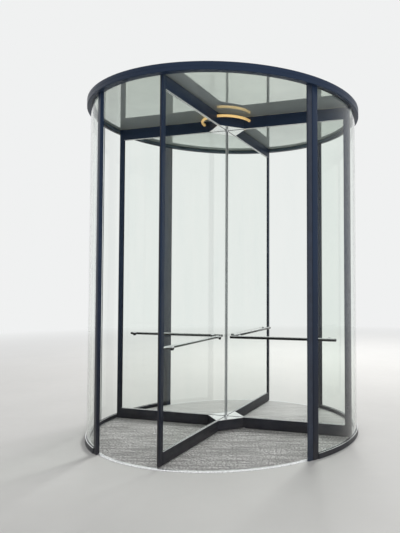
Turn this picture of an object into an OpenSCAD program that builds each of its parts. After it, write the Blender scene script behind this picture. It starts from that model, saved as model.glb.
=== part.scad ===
// Four-wing revolving door: a round drum with curved glass side walls, a dark ring beam and a
// glossy ceiling, and a rigid glazed cross of four wings turning about one slim centre pole.
// Millimetres, +Z up, origin on the floor at the centre of the drum.
// The passage runs along Y, the front doorway faces -Y, the side walls stand at +X and -X.

/* [Drum] */
// Inner radius of the curved side walls
drum_r = 1402; // [900:1:2200]
// Half the doorway width, as an angle from the middle of the passage to the post
passage_half = 44.3; // [30:0.1:60]
// Radial depth of the bottom sills under the side glass
sill_d = 40; // [25:1:80]
// Height of the bottom sills
sill_h = 50; // [30:1:200]
// Thickness of the curved side glass
wall_glass_t = 14; // [8:1:25]
// How deep the side glass stands in sills, posts and ring beam
wall_rebate = 12; // [6:1:25]
// Width of a doorway post along the curve
post_w = 64; // [40:1:150]
// Radial depth of a doorway post
post_d = 34; // [30:1:100]
// Width of the soft finger-guard strip beside the two closing posts
guard_w = 53; // [20:1:90]
// Radial depth of the finger-guard strip
guard_d = 26; // [12:1:60]
// Joint between the two glass panes of one side wall
pane_joint = 4; // [2:0.5:10]
// Clearance around glass in its slots and between neighbouring profiles
seat_gap = 0.3; // [0.1:0.1:0.8]

/* [Ceiling] */
// Underside of the ring beam above the floor
clear_h = 3398; // [2000:1:4500]
// Height of the ceiling glass above the underside of the ring beam
ceiling_rise = 34; // [30:1:120]
// Free height between the top bearing and the dust cover
cover_gap = 5; // [5:1:300]
// Radial depth of the ring beam
beam_d = 67; // [50:1:200]
// Width of the ledge that carries the ceiling glass
ledge = 18; // [10:1:50]
// Thickness of the ceiling glass
ceiling_t = 12; // [8:1:30]
// Thickness of the dust cover sheet
cover_t = 4; // [2:0.5:12]

/* [Floor] */
// Thickness of the entrance mat and its edging ring
mat_t = 10; // [5:1:30]
// Reach of the bright edging ring inward from the side walls
ring_in = 13; // [8:1:60]
// Reach of the edging ring outward in the doorways
ring_out = 16; // [8:1:30]
// Bevel on the outer edge of the edging ring
ring_bevel = 6; // [1:0.5:9]

/* [Wings] */
// Direction of the front wing at rest
rest_angle = -102.8; // [-135:0.1:-45]
// Gap between the wing stiles and the side walls, closed by brushes
wing_gap = 14; // [12:1:60]
// Underside of the wings above the floor
wing_z = 22; // [16:1:60]
// Top of the bottom rails above the floor
rail_top = 130; // [70:1:400]
// Height of the top rails
head_h = 124; // [100:1:400]
// Gap between the top rails and the ceiling glass
head_gap = 9; // [6:1:30]
// Thickness of the rails
rail_t = 30; // [24:1:60]
// Width of the outer stiles seen from the front
stile_w = 57; // [40:1:150]
// Thickness of the outer stiles
stile_t = 26; // [22:1:60]
// Thickness of the wing glass
wing_glass_t = 10; // [6:1:16]
// How deep the wing glass stands in rails and stiles
wing_rebate = 12; // [6:1:20]
// Gap between the inner edge of the wing glass and the pole
pole_gap = 5; // [2:0.5:20]

/* [Hub] */
// Distance from the axis to the corners of the triangular hub fillings
hub_r = 230; // [120:1:400]
// Radius of the centre pole
pole_r = 13; // [9:0.5:40]
// Thickness of the polished plates on the hub fillings
plate_t = 3; // [2:0.5:8]
// Radius of the gilt crown ring
crown_r = 275; // [240:1:500]
// Radius of the crown ring tube
crown_tube = 14.5; // [5:0.5:20]
// Middle of the crown ring below the ceiling glass
crown_drop = 48; // [25:1:80]

/* [Bearings] */
// Outer radius of the floor bearing
foot_r = 42; // [30:1:100]
// Height of the floor bearing
foot_h = 16; // [12:1:40]
// Outer radius of the top bearing
neck_r = 55; // [30:1:120]
// Height of the top bearing
neck_h = 30; // [30:1:90]
// Radius of the top bearing flange
flange_r = 100; // [60:1:200]
// Thickness of the top bearing flange
flange_t = 8; // [4:1:20]
// Radial running clearance of the pole in its bearings
run_gap = 0.05; // [0.01:0.01:0.1]

/* [Push bars] */
// Height of the push bars above the floor
bar_z = 1000; // [850:1:1200]
// Distance from the glass middle to the bar axis
bar_off = 65; // [45:1:110]
// Radius of the push bars
bar_r = 16; // [8:0.5:25]
// Start of a push bar from the axis
bar_in = 75; // [60:1:300]
// Distance from the end of a push bar to the outer edge of the wing
bar_end = 129; // [90:1:400]
// Distance of the bar holders from the bar ends
holder_in = 92; // [40:1:300]
// Radius of the holder stems
holder_r = 9; // [5:0.5:12]
// Radius of the holder rosettes on the glass
rosette_r = 21; // [14:0.5:40]
// Thickness of the holder rosettes
rosette_t = 5; // [3:0.5:10]
// Radius of the holder bolts through the glass
bolt_r = 6; // [3:0.5:8]

/* [Hidden] */
$fn = 96;
eps = 0.01;
a_door = 90 - passage_half;
post_a = post_w / (drum_r + post_d / 2) * 180 / PI;
guard_a = guard_w / (drum_r + guard_d / 2) * 180 / PI;
bite_a = wall_rebate / (drum_r + post_d / 2) * 180 / PI;
joint_a = pane_joint / 2 / (drum_r + sill_d / 2) * 180 / PI;
gap_a = seat_gap / (drum_r + post_d / 2) * 180 / PI;
a_wall = a_door - post_a;
a_pane = a_wall + bite_a;
pane_r = drum_r + (sill_d - wall_glass_t) / 2;
beam_r = drum_r + beam_d;
lid_r = drum_r + ledge;
beam_a = a_door - post_a / 2;
ceiling_z = clear_h + ceiling_rise;
beam_top = ceiling_z + neck_h + cover_gap + cover_t;
head_top = ceiling_z - head_gap;
head_z = head_top - head_h;
crown_z = ceiling_z - crown_drop;
wing_r = drum_r - wing_gap;
bar_out = wing_r - bar_end;
rail_in = hub_r - rail_t / 2;
rail_out = wing_r - stile_w;
glass_in = pole_r + pole_gap;
pole_low = 2;
pole_top = ceiling_z + neck_h - 4;
holder_x = [bar_in + holder_in, bar_out - holder_in];

// Sub-part to draw

// ring sector between two radii, two angles and two heights
module sector(r0, r1, a0, a1, z0, z1) {
    rotate([0, 0, a0])
        rotate_extrude(angle = a1 - a0, $fn = 180)
            translate([r0, z0]) square([r1 - r0, z1 - z0]);
}

// flat box along one wing, centred on its plane
module wing_box(x0, x1, t, z0, z1) {
    translate([x0, -t / 2, z0]) cube([x1 - x0, t, z1 - z0]);
}

// turns a piece into one of the four wing directions, the front wing being number 0
module wing(n) {
    rotate([0, 0, rest_angle + 90 * n]) children();
}

module tube(r0, r1, z0, z1) {
    difference() {
        translate([0, 0, z0]) cylinder(r = r1, h = z1 - z0);
        translate([0, 0, z0 - 1]) cylinder(r = r0, h = z1 - z0 + 2);
    }
}

module floor_mat() {
    color([0.62, 0.60, 0.57]) tube(foot_r, drum_r - ring_in, 0, mat_t);
}

// ring that reaches out between the posts and stops at the inner face of the side walls
module floor_ring() {
    r = drum_r + ring_out;
    color([0.80, 0.81, 0.82]) difference() {
        rotate_extrude($fn = 180) polygon([
            [drum_r - ring_in, 0], [r, 0], [r, mat_t - ring_bevel],
            [r - ring_bevel, mat_t], [drum_r - ring_in, mat_t]
        ]);
        ring_cut(-a_door - guard_a, a_door);
        rotate([0, 0, 180]) ring_cut(-a_door - guard_a, a_door);
    }
}

// what one side wall with its posts and its guard takes out of the edging ring
module ring_cut(a0, a1) {
    sector(drum_r, drum_r + ring_out + 1, a0 - gap_a, a1 + gap_a, -1, mat_t + 1);
}

module floor_bearing() {
    color([0.70, 0.71, 0.72]) tube(pole_r + run_gap, foot_r, 0, foot_h);
}

// slot in posts, sills and beam that takes the side glass
module glass_slot(a0, a1, z0, z1) {
    sector(pane_r - seat_gap, pane_r + wall_glass_t + seat_gap, a0, a1, z0, z1);
}

// doorway post whose wall side lies at the smaller angle, with the slot for the side glass
module post(a0) {
    color([0.17, 0.20, 0.25]) difference() {
        sector(drum_r, drum_r + post_d, a0, a0 + post_a, 0, clear_h);
        glass_slot(a0 - 1, a0 + bite_a + gap_a, sill_h - wall_rebate, clear_h + 1);
    }
}

// the same post mirrored, wall side at the larger angle
module post_mirrored(a1) {
    mirror([0, 1, 0]) post(-a1);
}

module post_front_right() { post_mirrored(-a_wall); }
module post_rear_right() { post(a_wall); }
module post_front_left() { rotate([0, 0, 180]) post(a_wall); }
module post_rear_left() { rotate([0, 0, 180]) post_mirrored(-a_wall); }

// soft strip that guards the edge where a wing closes on the wall
module guard() {
    color([0.16, 0.15, 0.19])
        sector(drum_r + 4, drum_r + 4 + guard_d, -a_door - guard_a, -a_door - gap_a, 0, clear_h);
}

module guard_front_right() { guard(); }
module guard_rear_left() { rotate([0, 0, 180]) guard(); }

module sill() {
    color([0.19, 0.21, 0.26]) difference() {
        sector(drum_r, drum_r + sill_d, -a_wall, a_wall, 0, sill_h);
        glass_slot(-a_wall - 1, a_wall + 1, sill_h - wall_rebate, sill_h + 1);
    }
}

module sill_right() { sill(); }
module sill_left() { rotate([0, 0, 180]) sill(); }

module pane(a0, a1) {
    color([0.72, 0.80, 0.78, 0.35])
        sector(pane_r, pane_r + wall_glass_t, a0, a1, sill_h - wall_rebate, clear_h + wall_rebate);
}

module wall_glass_right_front() { pane(-a_pane, -joint_a); }
module wall_glass_right_rear() { pane(joint_a, a_pane); }
module wall_glass_left_front() { rotate([0, 0, 180]) pane(joint_a, a_pane); }
module wall_glass_left_rear() { rotate([0, 0, 180]) pane(-a_pane, -joint_a); }

// quarter of the ring beam, with a ledge for the ceiling glass
module beam(a0, a1) {
    rotate([0, 0, a0]) rotate_extrude(angle = a1 - a0, $fn = 180) polygon([
        [drum_r, clear_h], [beam_r, clear_h], [beam_r, beam_top],
        [lid_r, beam_top], [lid_r, ceiling_z], [drum_r, ceiling_z]
    ]);
}

module side_beam() {
    color([0.17, 0.20, 0.25]) difference() {
        beam(-beam_a + gap_a, beam_a - gap_a);
        glass_slot(-a_pane - gap_a, a_pane + gap_a, clear_h - 1, clear_h + wall_rebate + seat_gap);
    }
}

module ring_beam_right() { side_beam(); }
module ring_beam_left() { rotate([0, 0, 180]) side_beam(); }
module ring_beam_rear() { color([0.17, 0.20, 0.25]) beam(beam_a, 180 - beam_a); }
module ring_beam_front() { rotate([0, 0, 180]) ring_beam_rear(); }

module ceiling_glass() {
    color([0.22, 0.25, 0.26])
        tube(neck_r + seat_gap, lid_r - seat_gap, ceiling_z, ceiling_z + ceiling_t);
}

module top_bearing() {
    color([0.45, 0.46, 0.48]) difference() {
        union() {
            translate([0, 0, ceiling_z]) cylinder(r = neck_r, h = neck_h);
            translate([0, 0, ceiling_z + ceiling_t]) cylinder(r = flange_r, h = flange_t);
        }
        translate([0, 0, ceiling_z - 1]) cylinder(r = pole_r + run_gap, h = neck_h + 2);
    }
}

module dust_cover() {
    color([0.17, 0.20, 0.25])
        translate([0, 0, beam_top - cover_t]) cylinder(r = lid_r - seat_gap, h = cover_t, $fn = 180);
}

module centre_pole() {
    color([0.78, 0.79, 0.80])
        translate([0, 0, pole_low]) cylinder(r = pole_r, h = pole_top - pole_low);
}

// square hub block with its corners on the wings, cut off where the rails begin
module hub_block(z0, z1) {
    t = rail_t / 2;
    difference() {
        translate([0, 0, z0]) linear_extrude(z1 - z0) rotate([0, 0, rest_angle]) polygon([
            [rail_in, -t], [rail_in, t], [t, rail_in], [-t, rail_in],
            [-rail_in, t], [-rail_in, -t], [-t, -rail_in], [t, -rail_in]
        ]);
        translate([0, 0, z0 - 1]) cylinder(r = pole_r, h = z1 - z0 + 2);
    }
}

module hub_bottom() { color([0.18, 0.19, 0.22]) hub_block(wing_z, rail_top - plate_t); }
module hub_plate() { color([0.85, 0.86, 0.87]) hub_block(rail_top - plate_t, rail_top); }
module hub_soffit() { color([0.85, 0.86, 0.87]) hub_block(head_z, head_z + plate_t); }
module hub_top() { color([0.17, 0.20, 0.25]) hub_block(head_z + plate_t, head_top); }

module crown(r) {
    translate([0, 0, crown_z]) rotate_extrude($fn = 120) translate([crown_r, 0]) circle(r = r, $fn = 32);
}

module crown_ring() { color([0.86, 0.66, 0.38]) crown(crown_tube); }

module bottom_rail(n) {
    color([0.18, 0.19, 0.22]) wing(n) difference() {
        wing_box(rail_in, rail_out, rail_t, wing_z, rail_top);
        wing_box(rail_in - 1, rail_out + 1, wing_glass_t, rail_top - wing_rebate, rail_top + 1);
    }
}

module top_rail(n) {
    color([0.17, 0.20, 0.25]) difference() {
        wing(n) difference() {
            wing_box(rail_in, rail_out, rail_t, head_z, head_top);
            wing_box(rail_in - 1, rail_out + 1, wing_glass_t, head_z - 1, head_z + wing_rebate);
        }
        crown(crown_tube);
    }
}

module stile(n) {
    color([0.17, 0.20, 0.25]) wing(n) difference() {
        wing_box(rail_out, wing_r, stile_t, wing_z, head_top);
        wing_box(rail_out - 1, rail_out + wing_rebate, wing_glass_t,
            rail_top - wing_rebate, head_z + wing_rebate);
    }
}

// pane of one wing: it stands on the hub near the pole and in the rails farther out
module wing_glass(n) {
    color([0.72, 0.80, 0.78, 0.35]) wing(n) difference() {
        rotate([90, 0, 0]) translate([0, 0, -wing_glass_t / 2]) linear_extrude(wing_glass_t) polygon([
            [glass_in, rail_top], [rail_in, rail_top], [rail_in, rail_top - wing_rebate],
            [rail_out + wing_rebate, rail_top - wing_rebate],
            [rail_out + wing_rebate, head_z + wing_rebate],
            [rail_in, head_z + wing_rebate], [rail_in, head_z], [glass_in, head_z]
        ]);
        for (x = holder_x) across(x, -wing_glass_t, wing_glass_t, bolt_r);
    }
}

// round bar across a wing at push-bar height, between two distances from its plane
module across(x, y0, y1, r) {
    translate([x, y0, bar_z]) rotate([-90, 0, 0]) cylinder(r = r, h = y1 - y0, $fn = 48);
}

module push_bar(n) {
    t = wing_glass_t / 2;
    color([0.82, 0.83, 0.84]) wing(n) union() {
        translate([bar_in, -bar_off, bar_z]) rotate([0, 90, 0])
            cylinder(r = bar_r, h = bar_out - bar_in, $fn = 48);
        for (x = holder_x) {
            across(x, -bar_off, -t, holder_r);
            across(x, -t - rosette_t, -t, rosette_r);
            across(x, -t - eps, t + eps, bolt_r);
            across(x, t, t + rosette_t, rosette_r);
        }
    }
}

module front_bottom_rail() { bottom_rail(0); }
module right_bottom_rail() { bottom_rail(1); }
module rear_bottom_rail() { bottom_rail(2); }
module left_bottom_rail() { bottom_rail(3); }

module front_top_rail() { top_rail(0); }
module right_top_rail() { top_rail(1); }
module rear_top_rail() { top_rail(2); }
module left_top_rail() { top_rail(3); }

module front_stile() { stile(0); }
module right_stile() { stile(1); }
module rear_stile() { stile(2); }
module left_stile() { stile(3); }

module front_glass() { wing_glass(0); }
module right_glass() { wing_glass(1); }
module rear_glass() { wing_glass(2); }
module left_glass() { wing_glass(3); }

module front_push_bar() { push_bar(0); }
module right_push_bar() { push_bar(1); }
module rear_push_bar() { push_bar(2); }
module left_push_bar() { push_bar(3); }

floor_mat();
floor_ring();
floor_bearing();
post_front_left();
post_front_right();
post_rear_left();
post_rear_right();
guard_front_right();
guard_rear_left();
sill_left();
sill_right();
wall_glass_left_front();
wall_glass_left_rear();
wall_glass_right_front();
wall_glass_right_rear();
ring_beam_front();
ring_beam_rear();
ring_beam_left();
ring_beam_right();
ceiling_glass();
top_bearing();
dust_cover();
centre_pole();
hub_bottom();
hub_plate();
hub_soffit();
hub_top();
crown_ring();
front_bottom_rail();
front_top_rail();
front_stile();
front_glass();
front_push_bar();
right_bottom_rail();
right_top_rail();
right_stile();
right_glass();
right_push_bar();
rear_bottom_rail();
rear_top_rail();
rear_stile();
rear_glass();
rear_push_bar();
left_bottom_rail();
left_top_rail();
left_stile();
left_glass();
left_push_bar();
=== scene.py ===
import math

import bpy
import numpy as np
from bpy.props import FloatProperty, FloatVectorProperty, PointerProperty
from mathutils import Matrix, Vector


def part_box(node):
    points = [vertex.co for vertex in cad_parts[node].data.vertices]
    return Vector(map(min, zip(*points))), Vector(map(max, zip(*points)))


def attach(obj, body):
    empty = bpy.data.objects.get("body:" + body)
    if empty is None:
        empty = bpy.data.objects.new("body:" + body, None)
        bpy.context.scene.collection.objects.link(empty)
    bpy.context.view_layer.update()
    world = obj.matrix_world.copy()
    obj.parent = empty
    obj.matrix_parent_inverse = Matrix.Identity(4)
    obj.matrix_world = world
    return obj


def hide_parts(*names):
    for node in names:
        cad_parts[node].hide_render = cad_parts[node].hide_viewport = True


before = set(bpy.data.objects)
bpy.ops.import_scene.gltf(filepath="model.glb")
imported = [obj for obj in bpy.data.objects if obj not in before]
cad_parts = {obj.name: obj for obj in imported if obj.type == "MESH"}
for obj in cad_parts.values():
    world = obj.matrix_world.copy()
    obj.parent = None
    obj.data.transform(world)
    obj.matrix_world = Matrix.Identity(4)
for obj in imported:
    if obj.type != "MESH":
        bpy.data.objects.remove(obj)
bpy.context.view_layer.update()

# The dressing of a four-wing revolving door. Metres, +Z up, origin on the floor at the drum's
# centre. The passage runs along Y and the front doorway faces -Y. Every piece is a surface worked
# out with numpy: a closed profile carried along a path, or a function of two parameters on a grid.

bl_info = {
    "name": "Revolving door dressing",
    "version": (1, 0, 0),
    "blender": (4, 5, 0),
    "location": "3D View > Sidebar > Door",
    "description": "Profiles, seals, trims, bars and finishes of a four-wing revolving door",
    "category": "Object",
}

WING_NAMES = ("front", "right", "rear", "left")
WALLS = (("right", 0.0), ("left", math.pi))  # the side walls and their directions
TURN = 2 * math.pi
SHARP = 1e-4  # corner radius of an edge that still looks sharp
CRISP = 2e-4  # corner radius of joint lines and small gaskets
LAP = 1e-4  # how far a piece reaches into its neighbour, so that no slit shows
BROKEN = 8e-4  # broken edge at the ends of posts and guards
WALL_STEPS = 97  # sections along a side wall or a length of the ring beam


def lowest(node, axis):
    """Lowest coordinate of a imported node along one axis."""
    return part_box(node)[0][axis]


def highest(node, axis):
    """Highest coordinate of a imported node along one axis."""
    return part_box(node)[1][axis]


def linear(*srgb):
    """An sRGB colour of 0 to 255 steps as the linear colour that a shader takes."""
    c = np.array(srgb, float) / 255
    return tuple(np.where(c <= 0.04045, c / 12.92, ((c + 0.055) / 1.055) ** 2.4))


# ---- sizes and colours that a user would change, with short calls for the kinds of property


def number(name, description, default, **kind):
    return FloatProperty(name=name, description=description, default=default, precision=4, **kind)


def length(name, description, default):
    return number(name, description, default, unit="LENGTH")


def angle(name, description, degrees):
    return number(name, description, math.radians(degrees), unit="ROTATION")


def power(name, description, watts):
    return number(name, description, watts, unit="POWER")


def colour(name, description, *srgb):
    kind = {"subtype": "COLOR", "size": 3, "min": 0, "max": 1}
    return FloatVectorProperty(name=name, description=description, default=linear(*srgb), **kind)


def vector(name, description, subtype, *default):
    return FloatVectorProperty(name=name, description=description, default=default, subtype=subtype)


class DrumSizes(bpy.types.PropertyGroup):
    """Sizes of the standing drum"""

    radius: length("Drum radius", "Inner radius of posts, sills and beam", highest("floor_ring", 0))
    door_edge: angle("Doorway edge", "Angle from the side walls' middle to the doorway", 45.7)
    post_angle: angle("Post angle", "Angle that a doorway post takes up", 2.5842)
    post_depth: length("Post depth", "Radial depth of a doorway post", 0.034)
    guard_angle: angle("Guard angle", "Angle that a finger guard takes up", 2.1461)
    guard_lift: length("Guard setback", "How far the guard stands behind the drum radius", 0.004)
    guard_depth: length("Guard depth", "Radial depth of a finger guard", 0.026)
    sill_depth: length("Sill depth", "Radial depth of the curved sills", 0.040)
    sill_height: length("Sill height", "Height of the curved sills", highest("sill_right", 2))
    glass: length("Side glass", "Thickness of the curved side glass", 0.014)
    glass_bite: length("Glass bite", "How deep the side glass stands in its frame", 0.012)
    pane_gap: length("Pane joint", "Width of the joint between two side panes", 0.004)
    beam_depth: length("Beam depth", "Radial depth of the ring beam", 0.067)
    ledge: length("Ledge", "Width of the ledge under the ceiling glass", 0.018)
    underside: length("Beam underside", "Height under the beam", highest("post_front_left", 2))
    ceiling: length("Ceiling", "Height under the ceiling glass", lowest("ceiling_glass", 2))
    top: length("Top", "Height of the dust cover's top", highest("dust_cover", 2))
    cover: length("Cover sheet", "Thickness of the dust cover", 0.004)
    rounding: length("Profile rounding", "Radius of the profiles' edges", 0.0025)


class MatSizes(bpy.types.PropertyGroup):
    """Sizes of the ribbed entrance mat"""

    radius: length("Mat radius", "Radius of the mat inside its ring", highest("floor_mat", 0))
    hole: length("Hole", "Radius of the hole around the floor bearing", 0.042)
    height: length("Mat height", "Height of the mat's pile", highest("floor_mat", 2))
    pitch: length("Rib pitch", "Distance from one rib to the next", 0.027)
    slot: length("Slot width", "Width of the open slot between two ribs", 0.0035)
    edge: length("Edge strip", "Width of the metal strip on both sides of the pile", 0.0014)
    slot_depth: length("Slot depth", "Depth of the open slots", 0.006)
    joint: length("Joint", "Half the joint between the mat's two halves", 0.0008)


class WingSizes(bpy.types.PropertyGroup):
    """Sizes of the four turning wings"""

    rest: angle("Rest direction", "Direction of the front wing at rest", -102.8)
    tip: length("Wing radius", "Distance from the axis to the stiles' outer edge", 1.388)
    hub: length("Hub edge", "Distance from the axis to the inner end of the rails", 0.215)
    stile_in: length("Stile edge", "Distance from the axis to the stiles' inner edge", 1.331)
    rail: length("Rail thickness", "Thickness of the rails", 0.030)
    stile: length("Stile thickness", "Thickness of the stiles", 0.026)
    glass: length("Wing glass", "Thickness of the wing glass", 0.010)
    glass_in: length("Glass edge", "Distance from the axis to the wing glass", 0.018)
    bite: length("Glass bite", "How deep the wing glass stands in its frame", 0.012)
    low: length("Wing underside", "Height of the wings' lower edge", lowest("hub_bottom", 2))
    rail_top: length("Bottom rail top", "Height of the bottom rails' top", highest("hub_plate", 2))
    head: length("Top rail underside", "Height under the top rails", lowest("hub_soffit", 2))
    head_top: length("Top rail top", "Height of the top rails' top", highest("hub_top", 2))
    bead: length("Bead height", "Height of the clip-on glazing beads", 0.016)
    groove: length("Groove", "Depth and width of the joint lines", 0.0014)
    gasket: length("Gasket", "Width of the glazing gaskets", 0.0020)
    cap: length("Cap strip", "Thickness of the bright strips along the rails", 0.0022)
    carrier: length("Brush carrier", "Depth of the brush carrier strips", 0.004)
    brush: length("Brush", "Thickness of the brush seals at their root", 0.007)
    clearance: length("Clearance", "Free running gap between brush tips and the side walls", 0.0058)
    sweep: length("Sweep", "Gap of the bristles above the mat and below the ceiling", 0.001)
    tuft: length("Tuft", "Length of seal that one brush tuft takes up", 0.009)


class BarSizes(bpy.types.PropertyGroup):
    """Sizes of the push bars"""

    height: length("Bar height", "Height of the push bars", 1.000)
    offset: length("Bar offset", "Distance from the glass middle to the bar axis", 0.065)
    radius: length("Bar radius", "Radius of the push bars", 0.016)
    inner: length("Inner end", "Start of a bar from the axis", 0.075)
    outer: length("Outer end", "End of a bar from the axis", 1.259)
    holder: length("Holder inset", "Distance of the holders from the bar ends", 0.092)
    stem: length("Stem radius", "Radius of the holder stems", 0.009)
    rosette: length("Rosette radius", "Radius of the rosettes on the glass", 0.021)
    rosette_thick: length("Rosette thickness", "Thickness of the rosettes", 0.005)


class PoleSizes(bpy.types.PropertyGroup):
    """Sizes of the centre pole, hub trims and crown ring"""

    radius: length("Pole radius", "Radius of the centre pole", 0.013)
    collar: length("Collar radius", "Radius of the collars around the pole", 0.027)
    collar_height: length("Collar height", "Height of the collars around the pole", 0.014)
    screw: length("Screw radius", "Radius of the hub plate screws", 0.0048)
    screw_ring: length("Screw distance", "Distance of the hub plate screws from the axis", 0.108)
    crown: length("Crown radius", "Radius of the gilt crown ring", 0.275)
    crown_height: length("Crown height", "Height of the crown ring's middle", 3.384)
    crown_tube: length("Crown tube", "Radius of the crown ring's tube", 0.0145)


class FinishColours(bpy.types.PropertyGroup):
    """Colours of the finishes"""

    coat: colour("Coating", "Dark powder coating of the profiles", 38, 51, 72)
    # painted light: paler tone for the ring beam's inner face, where daylight falls
    coat_head_painted_light: colour("Coating inside the head", "Paler tone inside the ring beam", 92, 106, 116)
    # painted shade: the greyer, duller tone that the coating blends to near the floor
    coat_low_painted_shade: colour("Coating near the floor", "Duller tone near the floor", 36, 37, 43)
    dust: colour("Dust", "Dust that settles on the lowest profiles", 118, 112, 104)
    rubber: colour("Guard rubber", "Soft rubber of the finger guards", 34, 41, 55)
    gasket: colour("Gasket", "Glazing gaskets", 20, 21, 23)
    bristle: colour("Bristle", "Nylon bristles of the brush seals", 26, 25, 26)
    pile: colour("Mat pile", "Light pile of the entrance mat", 253, 252, 250)
    pile_dark: colour("Mat flecks", "Darker flecks of the pile", 190, 187, 184)
    steel: colour("Steel", "Stainless steel", 226, 228, 229)
    # painted shade: the pole's steel is darkened for the dark room that it mirrors
    pole: colour("Pole", "Darker polished steel of the pole", 138, 142, 144)
    white: colour("White steel", "Polished strips on rails, hubs and sills", 252, 253, 253)
    edging: colour("Edging steel", "Bright steel ring around the mat", 250, 251, 252)
    aluminium: colour("Aluminium", "Satin anodised aluminium", 190, 192, 194)
    brass: colour("Brass", "Gold-coloured brass of the crown ring", 255, 214, 143)
    glass: colour("Clear glass", "Tint of the clear glass", 250, 252, 250)
    ceiling: colour("Ceiling glass", "Tint of the mirroring ceiling glass", 231, 239, 233)
    edge_seal: colour("Edge seal", "Clear seal strips beside the pole", 232, 236, 234)
    edge_milk: colour("Edge seal, milky", "Milkier places of the clear seal strips", 214, 220, 218)
    sealant: colour("Sealant", "Grey sealant of pane joints and floor joints", 96, 100, 102)
    sheet: colour("Cover sheet", "Painted sheet of the dust cover", 72, 78, 86)


class StageSettings(bpy.types.PropertyGroup):
    """Camera, floor and lights"""

    lens: number("Lens", "Focal length on a 36 mm long side", 35.937, unit="CAMERA")
    shift_x: number("Shift across", "Sideways shift that the picture's framing needs", -0.1719)
    shift_y: number("Shift up", "Upward shift that the picture's framing needs", -0.0061)
    roll: angle("Roll", "Roll of the camera", -0.087)
    camera: vector("Camera", "Place of the camera", "TRANSLATION", 1.1873, -5.8425, 1.5616)
    forward: vector("View", "Direction of view", "DIRECTION", -0.0782, 0.9961, 0.0415)
    floor: colour("Floor", "Pale floor", 214, 213, 210)
    background: colour("Background", "Background behind the floor", 240, 241, 241)
    ambient: colour("Ambient colour", "Colour of the even light from all sides", 250, 250, 252)
    sky: number("Ambient light", "Strength of the even light from all sides", 0.52)
    key: power("Key light", "Power of the large front light", 360)
    rear: power("Rear light", "Power of the light beyond the door", 1000)


# ---- geometry


def unit(vectors):
    """Vectors divided by their lengths."""
    return vectors / np.linalg.norm(vectors, axis=-1, keepdims=True)


def rounded(points, radii, steps=3):
    """Closed outline with rounded corners. Each corner is replaced by the arc of its radius that
    touches both neighbouring sides: the arc's centre lies on the corner's bisector, radius over
    sine of half the corner angle away, and its points are blended between the touching radii."""
    p = np.asarray(points, float)
    r = np.broadcast_to(np.asarray(radii, float), (len(p),))[:, None]
    a, b = unit(np.roll(p, 1, 0) - p), unit(np.roll(p, -1, 0) - p)
    half = np.arccos(np.clip((a * b).sum(1, keepdims=True), -1, 1)) / 2
    centre = p + unit(a + b) * r / np.sin(half)
    reach = r / np.tan(half)
    u, v = (p + a * reach - centre) / r, (p + b * reach - centre) / r
    sweep = np.pi - 2 * half
    s = np.linspace(0, 1, steps + 1)[None, :, None]
    blend = np.sin((1 - s) * sweep[:, None]) * u[:, None] + np.sin(s * sweep[:, None]) * v[:, None]
    return (centre[:, None] + r[:, None] * blend / np.sin(sweep)[:, None]).reshape(-1, 2)


def block(x0, x1, y0, y1, radii):
    """Rounded outline of a rectangle. Its corners go from x0, y0 by way of x1, y0."""
    return rounded([(x0, y0), (x1, y0), (x1, y1), (x0, y1)], radii)


def groove(face, start, end, depth):
    """Four points of a joint line that is cut into a face from start to end along it."""
    return [(face, start), (face - depth, start), (face - depth, end), (face, end)]


def both_halves(half, radii, flip):
    """Rounded outline of half a profile and of its mirror image, whose points are times flip."""
    half = np.array(half)
    return rounded(np.concatenate((half, half[::-1] * flip)), radii + radii[::-1])


def mirrored(outline):
    """Outline turned over its first coordinate, in reversed order."""
    return outline[::-1] * (-1, 1)


def skin(rings, round_path=False):
    """Shell over rings of points, section by section. Point j of ring i is joined to its neighbours
    in the ring and in the next ring. The end rings close it, or the path closes on its start."""
    rings = np.asarray(rings, float)
    n, m = rings.shape[:2]
    i, j = np.meshgrid(np.arange(n if round_path else n - 1), np.arange(m), indexing="ij")
    i2, j2 = (i + 1) % n, (j + 1) % m
    quads = np.stack((i * m + j, i * m + j2, i2 * m + j2, i2 * m + j), -1).reshape(-1, 4)
    ends = [] if round_path else [np.arange(m)[::-1], np.arange((n - 1) * m, n * m)]
    return rings.reshape(-1, 3), quads, ends


def volume(verts, quads, ends):
    """Signed volume of a shell: a sixth of the triple products of its triangles."""
    fans = [np.stack((np.full(len(ring) - 2, ring[0]), ring[1:-1], ring[2:]), -1) for ring in ends]
    t = verts[np.concatenate((quads[:, [0, 1, 2]], quads[:, [0, 2, 3]], *fans))]
    return np.einsum("ij,ij->", t[:, 0], np.cross(t[:, 1], t[:, 2])) / 6


def piece(name, shells, look, body, node=None, sharp=32):
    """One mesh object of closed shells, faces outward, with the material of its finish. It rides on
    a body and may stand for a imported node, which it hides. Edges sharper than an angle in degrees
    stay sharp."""
    verts, faces, start = [], [], 0
    for points, quads, ends in shells:
        order = -1 if volume(points - points.mean(0), quads, ends) < 0 else 1
        verts.append(points)
        faces += (quads[:, ::order] + start).tolist()
        faces += [(ring[::order] + start).tolist() for ring in ends]
        start += len(points)
    mesh = bpy.data.meshes.new(name)
    mesh.from_pydata(np.concatenate(verts).tolist(), [], faces)
    mesh.polygons.foreach_set("use_smooth", np.ones(len(mesh.polygons), bool))
    mesh.set_sharp_from_angle(angle=math.radians(sharp))
    mesh.materials.append(finish(look))
    mesh.update()
    made = bpy.data.objects.new(name, mesh)
    bpy.context.scene.collection.objects.link(made)
    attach(made, body)
    if node:
        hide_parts(node)


def upright(outline, z0, z1, soft=0.0):
    """Outline of x, y points carried straight up from z0 to z1. With soft, the last bit of both
    ends shrinks towards the outline's middle by that length, as a broken edge."""
    levels = [(outline, z0), (outline, z1)]
    if soft:
        high, low = outline.max(0), outline.min(0)
        middle = (high + low) / 2
        small = middle + (outline - middle) * (1 - 2 * soft / (high - low))
        levels = [(small, z0), (outline, z0 + soft), (outline, z1 - soft), (small, z1)]
    return skin([np.column_stack((o, np.full(len(o), z))) for o, z in levels])


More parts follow.
